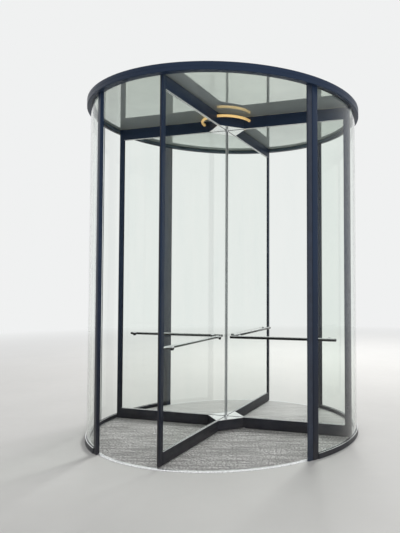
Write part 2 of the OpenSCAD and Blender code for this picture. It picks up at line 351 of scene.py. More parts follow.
def on_circle(radius, turn, z):
    """Points at a radius from the axis, a turn round it and a height."""
    return np.stack(np.broadcast_arrays(radius * np.cos(turn), radius * np.sin(turn), z), -1)


def polar(outline, direction, radius):
    """Outline of (distance along the curve, distance outward) points laid at one direction of the
    drum: the first becomes an angle at the drum radius, the second is added to that radius."""
    along, out = np.asarray(outline, float).T
    return on_circle(radius + out, direction + along / radius, 0)[:, :2]


def around(outline, a0, a1, steps=WALL_STEPS):
    """Outline of (radius, height) points carried round the axis. A full turn closes on itself."""
    r, z = np.asarray(outline, float).T[:, None]
    full = abs(a1 - a0) > TURN - 1e-6
    a = np.linspace(a0, a1, steps, endpoint=not full)[:, None]
    return skin(on_circle(r, a, z), round_path=full)


def lathe(origin, axis, profile, steps):
    """Turned part with closed ends: a circle at each (height, radius) of a profile on an axis."""
    axis = np.array(axis, float)
    u = unit(np.cross(axis, (0, 0, 1.0) if abs(axis[2]) < 0.9 else (1.0, 0, 0)))
    v = np.cross(axis, u)
    a = np.linspace(0, TURN, steps, endpoint=False)[None, :, None]
    h, r = np.array(profile, float).T[:, :, None, None]
    return skin(np.array(origin, float) + h * axis + r * (np.cos(a) * u + np.sin(a) * v))


def dome(height, radius, start, sign, steps=5):
    """Profile of a quarter-ellipse dome that ends a turned part, from its rim to its tip."""
    a = np.linspace(0, np.pi / 2 * 0.97, steps)
    return np.column_stack((start + sign * height * np.sin(a), radius * np.cos(a)))


def in_wing(shells, sizes, n):
    """Shells made along, across and up a wing, turned into that wing's direction."""
    a = sizes.rest + n * TURN / 4
    turn = np.array(((math.cos(a), math.sin(a), 0), (-math.sin(a), math.cos(a), 0), (0, 0, 1)))
    return [(points @ turn, quads, ends) for points, quads, ends in shells]


def in_all_wings(shells, sizes):
    """The same shells in each of the four wings."""
    return [shell for n in range(len(WING_NAMES)) for shell in in_wing(shells, sizes, n)]


def along_wing(outline, x0, x1):
    """Outline of (across, up) points carried along a wing from x0 to x1."""
    return skin([np.column_stack((np.full(len(outline), x), outline)) for x in (x0, x1)])


def fringe(start, end, out, reach, sizes, waves=0.10):
    """Brush seal: root to tip in the direction out, carried along a straight path. Its thickness
    follows the absolute value of a sine whose half period is one tuft. Its length varies a little
    with a slower sine times a faster cosine, so that the edge looks like bundles of bristles."""
    start, end, out, side = (np.array(x, float) for x in (start, end, out, (0, 1, 0)))
    total = np.linalg.norm(end - start)
    s = np.linspace(0, 1, int(total / sizes.tuft) * 3 + 1)[:, None]
    phase = s * total / sizes.tuft * np.pi
    thick = sizes.brush * (0.62 + 0.38 * np.abs(np.sin(phase)))
    slow, fast = 0.5 + 0.5 * np.sin(phase * 0.37 + 1.3), 0.6 + 0.4 * np.cos(phase * 2)
    tip = reach * (1 - waves * slow * fast)
    root = start + s * (end - start)
    section = ((-0.5, 0), (-0.46, 0.5), (-0.30, 1), (0.30, 1), (0.46, 0.5), (0.5, 0))
    return skin(np.stack([root + side * thick * k + out * tip * up for k, up in section], 1))


# ---- finishes


class Recipe:
    """Short calls for building the nodes of a material or of the world."""

    def __init__(self, owner, shader, output):
        owner.use_nodes = True
        self.owner, self.tree = owner, owner.node_tree
        self.shader, self.out = self.tree.nodes[shader], self.tree.nodes[output]

    def feed(self, node, feeds):
        """Sets a node's inputs: a number or colour as it is, another node's output as a link."""
        for key, value in feeds.items():
            socket = node.inputs[key]
            if isinstance(value, bpy.types.NodeSocket):
                self.tree.links.new(value, socket)
            else:
                socket.default_value = (*value, 1) if socket.type == "RGBA" else value

    def node(self, kind, feeds=None, **settings):
        """A new node with its settings made and its inputs fed."""
        made = self.tree.nodes.new("ShaderNode" + kind)
        for key, value in settings.items():
            setattr(made, key, value)
        self.feed(made, feeds or {})
        return made

    def put(self, **feeds):
        """Feeds the main shader, with _ for the blanks in its sockets' names."""
        self.feed(self.shader, {key.replace("_", " "): value for key, value in feeds.items()})

    def noise(self, scale, detail=2, rough=0.5):
        """Noise on Object coordinates, which three scales stretch first."""
        place = self.place
        if isinstance(scale, tuple):
            place, scale = self.node("Mapping", {"Vector": place, "Scale": scale}).outputs[0], 1
        feeds = {"Vector": place, "Scale": scale, "Detail": detail, "Roughness": rough}
        return self.node("TexNoise", feeds).outputs["Fac"]

    def span(self, value, low, high, from_low=0.3, from_high=0.7):
        """Value carried from one range to another, held at the ends."""
        terms = value, from_low, from_high, low, high
        return self.node("MapRange", dict(enumerate(terms))).outputs[0]

    def maths(self, operation, *terms):
        """The result of one operation on values."""
        return self.node("Math", dict(enumerate(terms)), operation=operation).outputs[0]

    def mix(self, share, a, b):
        """Two colours blended by the share of the second."""
        return self.node("Mix", {0: share, 6: a, 7: b}, data_type="RGBA").outputs[2]

    def axis(self, index):
        """One of the three Object coordinates."""
        return self.node("SeparateXYZ", {0: self.place}).outputs[index]

    def bump(self, height, strength, distance):
        """Fine relief of the main shader, from a pattern of heights."""
        bump = self.node("Bump", {"Height": height, "Strength": strength, "Distance": distance})
        self.put(Normal=bump.outputs[0])

    def share_out(self, share, other):
        """Sends the main shader to the output, with a share of another one in it."""
        both = self.node("MixShader", {0: share, 1: self.shader.outputs[0], 2: other.outputs[0]})
        self.feed(self.out, {"Surface": both.outputs[0]})

    def seen(self):
        """1 for rays from the camera and for those that mirrors and glass pass on."""
        path = self.node("LightPath").outputs
        direct = self.maths("MAXIMUM", path["Is Camera Ray"], path["Is Glossy Ray"])
        return self.maths("MAXIMUM", direct, path["Is Transmission Ray"])


def material(name):
    """The recipe of a new material, whose patterns follow Object coordinates."""
    r = Recipe(bpy.data.materials.new(name), "Principled BSDF", "Material Output")
    r.place = r.node("TexCoord").outputs["Object"]
    return r


def toned(tone, factor):
    """A colour times one factor, or times one for each channel."""
    return tuple(np.array(tone) * factor)


def coat_finish(r, c):
    """Satin powder coating: fine orange-peel and dust patches at the floor. Its blend from a greyer
    tone low down to a bluer one high up is painted light, standing in for the sky that the upper
    profiles mirror.
    """
    height = r.axis(2)
    # painted light: greyer low down and bluer high up, for the mirrored sky
    body = r.mix(r.span(height, 0, 1, 0.15, 1.9), c.coat_low_painted_shade, c.coat)
    body = r.mix(r.span(r.noise(2.6, 3), 0, 0.12), body, toned(c.coat, 1.5))
    near_floor, patches = r.span(height, 0.16, 0, 0.02, 0.30), r.span(r.noise(9, 3), 0.3, 1)
    body = r.mix(r.maths("MULTIPLY", near_floor, patches), body, c.dust)
    r.put(Base_Color=body, Roughness=r.span(r.noise(60, 3), 0.30, 0.44), Specular_IOR_Level=0.14)
    r.bump(r.noise(520), 0.16, 0.0004)
    return body


def beam_finish_painted_light(r, c):
    """The same coating on the ring beam. Its inner face, at the drum's radius, is paler: painted
    light that stands in for daylight falling on that face.
    """
    body, x, y = coat_finish(r, c), r.axis(0), r.axis(1)
    squares = r.maths("ADD", r.maths("MULTIPLY", x, x), r.maths("MULTIPLY", y, y))
    inner = bpy.context.scene.door_drum.radius
    # painted light on the beam's inner face
    share = r.span(r.maths("SQRT", squares), 1, 0, inner + 0.0006, inner + 0.0020)
    r.put(Base_Color=r.mix(share, body, c.coat_head_painted_light))


def mottled_finish(r, c, tone, other, share, patches, wear, rough, relief, depth, metallic=0):
    """Two tones in patches, a varying roughness and a fine relief, each from its own noise. The
    other tone is a colour's name or a factor. Noises that are alike are one, and relief without a
    noise of its own takes the wear's."""
    relief = relief or wear
    noises = {noise: r.noise(*noise) for noise in dict.fromkeys((patches, wear, relief))}
    tone = getattr(c, tone)
    other = getattr(c, other) if isinstance(other, str) else toned(tone, other)
    body = r.mix(r.span(noises[patches], 0, share), tone, other)
    r.put(Base_Color=body, Roughness=r.span(noises[wear], *rough), Metallic=metallic)
    r.bump(noises[relief], *depth)


def steel_finish(r, c, smooth, rough, grain, depth):
    """Stainless steel: grain of stretched noise in its roughness and bump, soft handling marks in
    its colour. Turned steel has the same with circular tool marks."""
    marks, lines = r.noise(9, 4, 0.6), r.noise(grain, 3, 0.6)
    body = r.mix(r.span(marks, 0, 0.22), c.steel, toned(c.steel, 0.72))
    wear = r.maths("ADD", r.span(lines, smooth, rough), r.span(marks, 0, 0.05))
    r.put(Base_Color=body, Metallic=1, Roughness=wear)
    r.bump(lines, depth, 0.0003)


def bar_finish_painted_light(r, c, low, high):
    """Brushed steel of the push bars: grain along the bar, with a painted highlight on top and
    painted shade below, standing in for the bright room above and the dark floor that the bar
    mirrors. Low and high are heights over the bar's axis in bar radii."""
    b = bpy.context.scene.door_bars
    lines = r.noise((5, 5, 1500), 3, 0.6)
    above = r.maths("ADD", r.maths("SUBTRACT", r.axis(2), b.height), r.span(lines, -0.001, 0.001))
    share = r.span(above, 0, 1, low * b.radius, high * b.radius)
    # painted light: a highlight above the axis and near-black shade below it
    body = r.mix(share, toned(c.steel, 0.02), toned(c.steel, 1.2))
    r.put(Base_Color=body, Metallic=0.6, Specular_IOR_Level=0.2)
    r.put(Roughness=r.span(lines, 0.12, 0.24))
    r.bump(lines, 0.10, 0.0003)


def pole_finish_painted_light(r, c):
    """Polished steel of the pole, with painted light: broad darker and lighter streaks along it
    stand in for the surroundings it mirrors, it is brighter low down as painted light from the
    floor, and fine drawing lines vary its roughness and relief."""
    painted_reflection_streaks, lines = r.noise((110, 110, 0.4)), r.noise((900, 900, 3), 3, 0.6)
    # painted light: brighter low down, where the floor lights it
    height = r.span(r.axis(2), 0.86, 0.20, 0.15, 1.0)
    share = r.maths("ADD", height, r.span(painted_reflection_streaks, -0.14, 0.14, 0.40, 0.62))
    body = r.mix(share, toned(c.pole, 0.55), toned(c.pole, 1.9))
    r.put(Base_Color=body, Metallic=1, Roughness=r.span(lines, 0.10, 0.20))
    r.bump(lines, 0.05, 0.0003)


def brass_finish_painted_glow(r, c, *settings):
    """Gold-coloured brass, lightly brushed round its tube, with a weak painted glow: it emits light
    though it is no lamp, standing in for the bright surroundings it mirrors.
    """
    mottled_finish(r, c, *settings)
    # painted light: the ring glows though it is no lamp
    r.put(Emission_Color=c.brass, Emission_Strength=0.38)


def glass_finish(r, c):
    """Clear glass with its slight green tint, a trace of wiping haze and a very slight roller wave.
    Rays towards a light pass it instead of stopping at it."""
    haze = r.noise((5, 5, 1.2), 3, 0.6)
    body = r.mix(r.span(haze, 0, 1), c.glass, toned(c.glass, (0.975, 0.985, 0.985)))
    r.put(Base_Color=body, Transmission_Weight=1, IOR=1.2, Roughness=0)
    r.bump(r.noise(1.6, 1), 0.02, 0.002)
    through = r.node("BsdfTransparent", {"Color": toned(np.sqrt(np.array(c.glass)), 0.985)})
    r.share_out(r.node("LightPath").outputs["Is Shadow Ray"], through)


def ceiling_finish(r, c):
    """Mirroring ceiling glass: a tinted mirror with a faint roller wave and a thin even veil."""
    veil = r.noise(3, 3, 0.55)
    body = r.mix(r.span(veil, 0, 1), c.ceiling, toned(c.ceiling, 0.93))
    r.put(Base_Color=body, Metallic=0.5, Roughness=r.span(veil, 0.001, 0.006))
    r.bump(r.noise(1.3, 1), 0.012, 0.002)


def mat_finish(r, c):
    """Ribbed mat: pile strips with flecks, metal edges beside each slot and dark slots. The
    distance along Y is divided by the rib pitch, and its fraction says which band a point is in.
    Towards the rear the dark specks thin out, as painted light for the sunlight on the far part of
    the mat."""
    m = bpy.context.scene.door_mat
    slot, edge = m.slot / m.pitch, m.edge / m.pitch
    along = r.maths("ADD", r.axis(1), m.radius + 10 * m.pitch)
    part = r.maths("FRACT", r.maths("DIVIDE", along, m.pitch))
    in_slot = r.maths("LESS_THAN", part, slot)
    near = r.maths("SUBTRACT", r.maths("LESS_THAN", part, slot + edge), in_slot)
    metal = r.maths("MAXIMUM", near, r.maths("GREATER_THAN", part, 1 - edge))
    fleck, grain, streak = r.noise(430, 3, 0.7), r.noise((66, 42, 1), 1), r.noise((2.2, 24, 1))
    pile = r.mix(r.span(fleck, 0, 0.7, 0.38, 0.66), c.pile, c.pile_dark)
    # painted light: fewer dark specks towards the rear, for sunlight there
    rear_painted_light = r.span(r.axis(1), 1, 0.40, -0.1, 0.7)
    for speck, share in ((grain, 0.85), (streak, 0.60)):
        amount = r.maths("MULTIPLY", r.span(speck, 0, share, 0.42, 0.60), rear_painted_light)
        pile = r.mix(amount, pile, toned(c.pile_dark, 0.45))
    body = r.mix(metal, pile, toned(c.aluminium, 0.8))
    body = r.mix(in_slot, body, toned(c.pile_dark, 0.22))
    rough = r.maths("SUBTRACT", r.span(fleck, 0.82, 0.96), r.maths("MULTIPLY", metal, 0.5))
    r.put(Base_Color=body, Metallic=r.maths("MULTIPLY", metal, 0.9), Roughness=rough)
    r.bump(r.noise(700, 2, 0.6), 0.7, 0.0012)


def clear_seal_finish(r, c, *settings):
    """Milky clear seal strips between the glass edges and the pole."""
    mottled_finish(r, c, *settings)
    r.put(Transmission_Weight=0.35, IOR=1.45)


def sheet_finish(r, c):
    """Painted sheet of the dust cover with settled dust."""
    dust = r.noise(3.4, 5, 0.62)
    body = r.mix(r.span(dust, 0, 0.45, 0.38, 0.7), c.sheet, c.dust)
    r.put(Base_Color=body, Roughness=r.span(dust, 0.42, 0.72))
    r.bump(r.noise(380), 0.12, 0.0004)


STREAK = ((300, 300, 1400),)  # noise of the bristles
MILK = ((200, 200, 8),)  # noise of the clear seals

# The material's name, its recipe and what the recipe takes besides the colours.
FINISHES = {
    "coat": ("satin_powder_coating", coat_finish),
    "beam": ("beam_coating_painted_light", beam_finish_painted_light),
    "steel": ("polished_steel", steel_finish, 0.07, 0.16, (3, 3, 3), 0.03),
    "bearing": ("turned_steel", steel_finish, 0.25, 0.42, (30, 30, 800), 0.15),
    "bar": ("bar_steel_painted_light", bar_finish_painted_light, 0.45, 0.8),
    # painted light: a lit copy of the bar finish for the front bar, whose highlight reaches further
    # down
    "lit_bar": ("lit_bar_steel_painted_light", bar_finish_painted_light, 0.2, 0.45),
    "pole": ("pole_steel_painted_light", pole_finish_painted_light),
    "glass": ("clear_safety_glass", glass_finish),
    "ceiling": ("mirroring_ceiling_glass", ceiling_finish),
    "mat": ("ribbed_entrance_mat", mat_finish),
    "sheet": ("painted_sheet", sheet_finish),
    # Mottled finishes: tone, other tone, its share, noise of the patches, noise of the wear, range
    # of the roughness, noise of the relief, its strength and depth, and how metallic it is.
    "rubber": ("guard_rubber", mottled_finish, "rubber", 1.9, 0.5,
               (14, 4), (90, 3), (0.48, 0.66), (900, 1), (0.25, 4e-4)),
    "gasket": ("glazing_gasket", mottled_finish, "gasket", 1.8, 1,
               (40,), (120,), (0.36, 0.54), (700, 1), (0.15, 3e-4)),
    "sealant": ("grey_sealant", mottled_finish, "sealant", 0.7, 0.5,
                (26, 3), (80,), (0.34, 0.52), (240,), (0.1, 5e-4)),
    "bristle": ("nylon_bristle", mottled_finish, "bristle", 4, 1,
                STREAK, STREAK, (0.45, 0.7), None, (0.6, 8e-4)),
    "clear_seal": ("clear_edge_seal", clear_seal_finish, "edge_seal", "edge_milk", 1,
                   MILK, MILK, (0.2, 0.36), None, (0.08, 3e-4)),
    "white": ("bright_polished_strip", mottled_finish, "white", "steel", 0.25,
              (14, 3), ((40, 40, 900), 3, 0.6), (0.16, 0.28), None, (0.02, 2e-4), 0.85),
    "ring": ("edging_steel", mottled_finish, "edging", "steel", 0.30,
             (9, 4, 0.6), ((260, 260, 40), 3, 0.6), (0.20, 0.36), None, (0.12, 3e-4), 0.7),
    "brass": ("gilt_brass", brass_finish_painted_glow, "brass", (0.94, 0.86, 0.78), 0.35,
              (18, 4), ((60, 60, 1200), 3, 0.55), (0.22, 0.34), None, (0.08, 3e-4), 0.45),
}  # fmt: skip
made_finishes = {}


def finish(look):
    """The material of one finish, made on first use."""
    if look not in made_finishes:
        name, recipe, *settings = FINISHES[look]
        r = material(name)
        recipe(r, bpy.context.scene.door_finishes, *settings)
        made_finishes[look] = r.owner
    return made_finishes[look]


# ---- operators


class DOOR_OT_finish_nodes(bpy.types.Operator):
    """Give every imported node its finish"""

    bl_idname = "door.finish_nodes"
    bl_label = "Finish the packed parts"

    STARTS = (
        ("floor_mat", "mat"), ("floor_ring", "ring"), ("floor_bearing", "bearing"),
        ("top_bearing", "bearing"), ("post", "coat"), ("guard", "rubber"), ("sill", "coat"),
        ("wall_glass", "glass"), ("ring_beam", "beam"), ("ceiling_glass", "ceiling"),
        ("dust_cover", "sheet"), ("centre_pole", "pole"), ("hub_bottom", "coat"),
        ("hub_plate", "white"), ("hub_soffit", "white"), ("hub_top", "coat"),
        ("crown_ring", "brass"),
    )  # fmt: skip
    ENDS = (("_rail", "coat"), ("_stile", "coat"), ("_glass", "glass"), ("_push_bar", "bar"))

    def execute(self, context):
        for name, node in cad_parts.items():
            looks = [look for start, look in self.STARTS if name.startswith(start)]
            looks += [look for end, look in self.ENDS if name.endswith(end)]
            if not looks:
                raise RuntimeError(f"no finish for {name}")
            node.data.materials.clear()
            node.data.materials.append(finish(looks[0]))
        return {"FINISHED"}


class DOOR_OT_lay_mat(bpy.types.Operator):
    """Lay the ribbed entrance mat in two halves. A rib's profile repeats along Y, and each point of
    it runs across from the hole or the joint to the rim, where x is the root of the radius squared
    less y squared"""

    bl_idname = "door.lay_mat"
    bl_label = "Entrance mat"

    def execute(self, context):
        m = context.scene.door_mat
        slot_floor, strip, brow = (m.height - drop for drop in (m.slot_depth, 0.0005, 0.0002))
        bevel = 1.4 * m.edge
        rib = np.array([
            (0, slot_floor), (0.98 * m.slot, slot_floor), (m.slot, strip), (m.slot + m.edge, strip),
            (m.slot + bevel, brow), ((m.slot + m.pitch) / 2, m.height), (m.pitch - bevel, brow),
            (m.pitch - m.edge, strip), (m.pitch - 1e-5, strip),
        ])  # fmt: skip
        ribs = int(2 * m.radius / m.pitch) + 1
        y = (-m.radius + np.arange(ribs)[:, None] * m.pitch + rib[:, 0]).ravel()
        z = np.tile(rib[:, 1], ribs)
        inside = np.abs(y) < m.radius - 0.001
        y, z = y[inside], z[inside]
        rim = np.sqrt(m.radius**2 - y**2)
        hole = np.maximum(np.sqrt(np.maximum(m.hole**2 - y**2, 0)), m.joint)
        for name, sign in (("mat_half_right", 1), ("mat_half_left", -1)):
            corners = ((rim, z), (hole, z), (hole, 0 * z), (rim, 0 * z))
            rings = np.stack([np.stack((sign * x, y, h), -1) for x, h in corners], 1)
            piece(name, [skin(rings)], "mat", "drum", "floor_mat", sharp=20)
        return {"FINISHED"}


class DOOR_OT_fit_posts(bpy.types.Operator):
    """Stand the four doorway posts. Their plan, with a cover joint on the side of the doorway, is
    laid on the drum's curve and carried straight up"""

    bl_idname = "door.fit_posts"
    bl_label = "Doorway posts"

    def execute(self, context):
        d = context.scene.door_drum
        wide, deep, line, gap = d.post_angle * d.radius, d.post_depth, d.post_depth * 0.30, 0.0012
        outline = [(0, 0), (wide, 0), *groove(wide, line - gap, line, gap), (wide, deep), (0, deep)]
        radii = [d.rounding] * 2 + [SHARP] * 4 + [d.rounding] * 2
        outline = rounded(outline, radii) - (wide, 0)
        for name, side, flip in (
            ("front_right", -d.door_edge, True),
            ("rear_right", d.door_edge, False),
            ("front_left", math.pi + d.door_edge, False),
            ("rear_left", math.pi - d.door_edge, True),
        ):
            foot = polar(mirrored(outline) if flip else outline, side, d.radius)
            post = upright(foot, 0, d.underside, BROKEN)
            piece(name + "_post", [post], "coat", "drum", "post_" + name)
        return {"FINISHED"}


class DOOR_OT_fit_guards(bpy.types.Operator):
    """Fit the soft finger guards beside the closing posts. Their plan, with fine ribs and a round
    nose towards the doorway, is laid on the drum's curve and carried straight up"""

    bl_idname = "door.fit_guards"
    bl_label = "Finger guards"

    def execute(self, context):
        d = context.scene.door_drum
        wide, low, deep = d.guard_angle * d.radius, d.guard_lift, d.guard_depth
        gap, ridge, places = 0.0004, 0.0012, (0.16, 0.22, 0.30, 0.36, 0.44, 0.50)
        corner, soft, nose = 0.001, 0.0006, 0.0115  # radii at the post, on the ribs and in front
        ribs = [(wide * k, low + ridge * (i % 2)) for i, k in enumerate(places)]
        outline = [(gap, low), *ribs, (wide, low), (wide, low + deep), (gap, low + deep)]
        outline = rounded(outline, [corner, *[soft] * len(ribs), nose, nose, corner], 5)
        for name, turn in (("front_right", 0.0), ("rear_left", math.pi)):
            foot = polar(mirrored(outline), turn - d.door_edge, d.radius)
            guard = upright(foot, 0, d.underside, BROKEN)
            piece(name + "_guard", [guard], "rubber", "drum", "guard_" + name)
        return {"FINISHED"}


class DOOR_OT_fit_sills(bpy.types.Operator):
    """Bend the sills under the side glass and their bright caps, which are a painted highlight:
    bright strips that stand in for the light line along the sills' tops. A profile with a slot for
    the glass, and rounded rectangles beside it, are carried round the axis"""

    bl_idname = "door.fit_sills"
    bl_label = "Curved sills"

    def execute(self, context):
        d = context.scene.door_drum
        r0, r1, h = d.radius, d.radius + d.sill_depth, d.sill_height
        deep, play, foot, plinth = h - d.glass_bite, 0.0003, 0.002, 0.004
        slot0 = r0 + (d.sill_depth - d.glass) / 2 - play
        slot1 = slot0 + d.glass + 2 * play
        outline = [
            (r1 - foot, 0), (r1 - foot, plinth), (r1, plinth), (r1, h), (slot1, h), (slot1, deep),
            (slot0, deep), (slot0, h), (r0, h), (r0, plinth), (r0 + foot, plinth), (r0 + foot, 0),
        ]  # fmt: skip
        radii = [SHARP] * 3 + [d.rounding, 4e-4, SHARP, SHARP, 4e-4, d.rounding] + [SHARP] * 3
        wall = d.door_edge - d.post_angle
        thick, gap, inset = 0.0016, 0.004, 0.001  # of the caps, towards the glass and the faces
        # painted highlight: bright strips on the sill's top
        highlight_caps = [
            block(a, b, h - LAP, h + thick, [SHARP, SHARP, 5e-4, 5e-4])
            for a, b in ((r0 + inset, slot0 - gap), (slot1 + gap, r1 - inset))
        ]
        for name, turn in WALLS:
            arc = turn - wall, turn + wall
            sill = around(rounded(outline, radii), *arc)
            piece(name + "_sill", [sill], "coat", "drum", "sill_" + name)
            strips = [around(cap, *arc) for cap in highlight_caps]
            piece(name + "_sill_highlight_caps", strips, "white", "drum")
        return {"FINISHED"}


class DOOR_OT_fit_beams(bpy.types.Operator):
    """Bend the four lengths of the ring beam. A profile with a ledge for the ceiling glass and a
    joint line outside is carried round the axis"""

    bl_idname = "door.fit_beams"
    bl_label = "Ring beam"

    def execute(self, context):
        d = context.scene.door_drum
        r0, r1, r2 = d.radius, d.radius + d.beam_depth, d.radius + d.ledge
        low, mid, top, rise, gap = d.underside, d.ceiling, d.top, 0.030, 0.0016
        joint = groove(r1, low + rise, low + rise + gap, gap)
        outline = [(r0, low), (r1, low), *joint, (r1, top), (r2, top), (r2, mid), (r0, mid)]
        radii = [d.rounding] * 2 + [CRISP] * 4 + [d.rounding, 4e-4, SHARP, 8e-4]
        edge, slit = d.door_edge - d.post_angle / 2, 0.0003 / d.radius
        for name, a0, a1 in (
            ("right", -edge + slit, edge - slit),
            ("rear", edge, math.pi - edge),
            ("left", math.pi - edge + slit, math.pi + edge - slit),
            ("front", math.pi + edge, TURN - edge),
        ):
            beam = around(rounded(outline, radii), a0, a1)
            piece(name + "_beam", [beam], "beam", "drum", "ring_beam_" + name)
        return {"FINISHED"}


class DOOR_OT_seal_walls(bpy.types.Operator):
    """Set the gaskets, pane joints and floor joints of the side walls. A wedge goes round the
    glass on both faces, a bead with hollow faces up between two panes, a fillet along the floor"""

    bl_idname = "door.seal_walls"
    bl_label = "Wall seals"

    def execute(self, context):
        d = context.scene.door_drum
        inner = d.radius + (d.sill_depth - d.glass) / 2
        outer, face = inner + d.glass, d.radius + d.sill_depth
        wall, low, top = d.door_edge - d.post_angle, d.sill_height, d.underside
        wedge = 0.004 * np.array([(0, 0), (1, 0), (0.75, 0.55), (0.3, 0.85), (0, 0.9)])
        near, far, half, hollow = inner - d.radius, outer - d.radius, d.pane_gap / 2 + LAP, 0.0009
        bead = [(-half, near), (0, near + hollow), (half, near),
                (half, far), (0, far - hollow), (-half, far)]  # fmt: skip
        back, s = face - 0.0025, 0.003
        fillet = [(back, 0), (face + s, 0), (face + s * 0.35, s * 0.4), (face, s), (back, s)]
        for name, turn in WALLS:
            gaskets = []
            for pane, out in ((inner, -1), (outer, 1)):
                for edge, up in ((low - LAP, 1), (top + LAP, -1)):
                    strip = rounded((pane, edge) + wedge * (out, up), CRISP, 2)
                    gaskets.append(around(strip, turn - wall, turn + wall))
                for end in (-1, 1):
                    along, off = LAP - wedge[:, 1], pane - d.radius + out * wedge[:, 0]
                    strip = rounded(np.column_stack((end * along, off)), CRISP, 2)
                    gaskets.append(upright(polar(strip, turn + end * wall, d.radius), low, top))
            piece(name + "_wall_gaskets", gaskets, "gasket", "drum")
            joint = upright(polar(bead, turn, d.radius), low, top)
            piece(name + "_pane_joint", [joint], "sealant", "drum")
        lines = [around(fillet, turn - wall, turn + wall) for _, turn in WALLS]
        piece("floor_joint_sealant", lines, "sealant", "drum")
        return {"FINISHED"}


class DOOR_OT_fit_rails(bpy.types.Operator):
    """Build the rails and stiles of the four wings. Profiles with a slot for the glass and the
    joints of their clip-on beads are carried along the wing or straight up"""

    bl_idname = "door.fit_rails"
    bl_label = "Rails and stiles"

    def execute(self, context):
        w = context.scene.door_wings
        g, slot = w.groove, w.glass / 2 + 0.0003

        def rail(frame_side, glass_side, up):
            """Outline from the frame side to the glass side, with a bead joint on both faces."""
            t, line = w.rail / 2, glass_side - up * w.bead
            half = [(t, frame_side), *groove(t, line - up * g, line, g), (t, glass_side),
                    (slot, glass_side), (slot, glass_side - up * w.bite)]  # fmt: skip
            return both_halves(half, [0.002, *[CRISP] * 4, 0.0016, 3e-4, CRISP], (-1, 1))

        h, e, line = w.stile / 2, w.stile_in, w.stile_in + w.bead
        joint = [(x, y) for y, x in groove(h, line + g, line, g)]
        half = [(w.tip, h), *joint, (e, h), (e, slot), (e + w.bite, slot)]
        stile = both_halves(half, [0.003, *[CRISP] * 4, 0.002, 3e-4, CRISP], (1, -1))
        hub_gap, stile_gap = 2e-4, 3e-4
        parts = [
            (kind, along_wing(outline, w.hub + hub_gap, w.stile_in - stile_gap))
            for kind, outline in (
                ("bottom_rail", rail(w.low, w.rail_top, 1)),
                ("top_rail", rail(w.head_top, w.head, -1)),
            )
        ]
        parts.append(("stile", upright(stile, w.low, w.head_top, 0.0006)))
        for n, name in enumerate(WING_NAMES):
            for kind, shell in parts:
                node = f"{name}_{kind}"
                shells = in_wing([shell], w, n)
                piece(node + "_profile", shells, "coat", "rotor", node)
        return {"FINISHED"}


class DOOR_OT_seal_wings(bpy.types.Operator):
    """Set the glazing gaskets, brush carriers and brush seals of the wings. A wedge goes along
    three edges of the glass, mitred at its corners, and brushes along the wing's outer edges"""

    bl_idname = "door.seal_wings"
    bl_label = "Wing seals"

    def execute(self, context):
        w, d, m = context.scene.door_wings, context.scene.door_drum, context.scene.door_mat
        x0, x1, z0, z1, g = w.glass_in, w.stile_in, w.rail_top, w.head, w.gasket
        wedge = [(-LAP, 0), (g, 0), (g * 0.8, g * 0.5), (g * 0.35, g * 0.85), (-LAP, g * 0.95)]
        off, away = rounded(wedge, CRISP, 2).T
        off, x0, x1, z0, z1 = off + w.glass / 2, x0 + 0 * away, x1 - away, z0 + away, z1 - away
        path = (x0, z0), (x1, z0), (x1, z1), (x0, z1)
        gaskets = [skin([np.column_stack((x, sign * off, z)) for x, z in path]) for sign in (-1, 1)]
        outer, half = w.tip + w.carrier, 0.0055
        edge = block(w.tip - LAP, outer, -half, half, [SHARP, 8e-4, 8e-4, SHARP])
        foot = block(-half, half, w.low - 0.003, w.low + LAP, [6e-4, 6e-4, SHARP, SHARP])
        carriers = [upright(edge, w.low, w.head_top), along_wing(foot, w.hub, outer)]
        root, start, low, high = outer - LAP, w.hub + 0.01, w.low - 0.0029, w.head_top - LAP
        side_reach = d.radius - w.clearance - w.tip - w.carrier
        low_reach, high_reach = low - m.height - w.sweep, d.ceiling - w.sweep - w.head_top
        bottom, top = (root, 0, w.low + 0.001), (root, 0, w.head_top - 0.001)
        brushes = [
            fringe(bottom, top, (1, 0, 0), side_reach, w, 0.05),
            fringe((start, 0, low), (outer, 0, low), (0, 0, -1), low_reach, w),
            fringe((start, 0, high), (outer, 0, high), (0, 0, 1), high_reach, w),
        ]
        for n, name in enumerate(WING_NAMES):
            for kind, shells, look, slot in (
                ("glazing_gaskets", gaskets, "gasket", "rubber"),
                ("brush_carriers", carriers, "coat", "dark_coating"),
                ("brush_seals", brushes, "bristle", "rubber"),
            ):
                piece(f"{name}_{kind}", in_wing(shells, w, n), look, "rotor")
        return {"FINISHED"}


class DOOR_OT_trim_rails(bpy.types.Operator):
    """Lay the bright cap strips beside the glass: rounded rectangles carried along the rails"""

    bl_idname = "door.trim_rails"
    bl_label = "Rail cap strips"

    def execute(self, context):
        w = context.scene.door_wings
        inner, outer, gap = w.glass / 2 + w.gasket - 2e-4, w.rail / 2 - 3e-4, 5e-4
        strips = []
        for z, up in ((w.rail_top, 1), (w.head, -1)):
            strip = block(inner, outer, z - up * LAP, z + up * w.cap, [SHARP, SHARP, 5e-4, 3e-4])
            for sign in (-1, 1):
                strips.append(along_wing(strip * (sign, 1), w.hub + gap, w.stile_in - gap))
        for n, name in enumerate(WING_NAMES):
            piece(name + "_rail_caps", in_wing(strips, w, n), "white", "rotor")
        return {"FINISHED"}


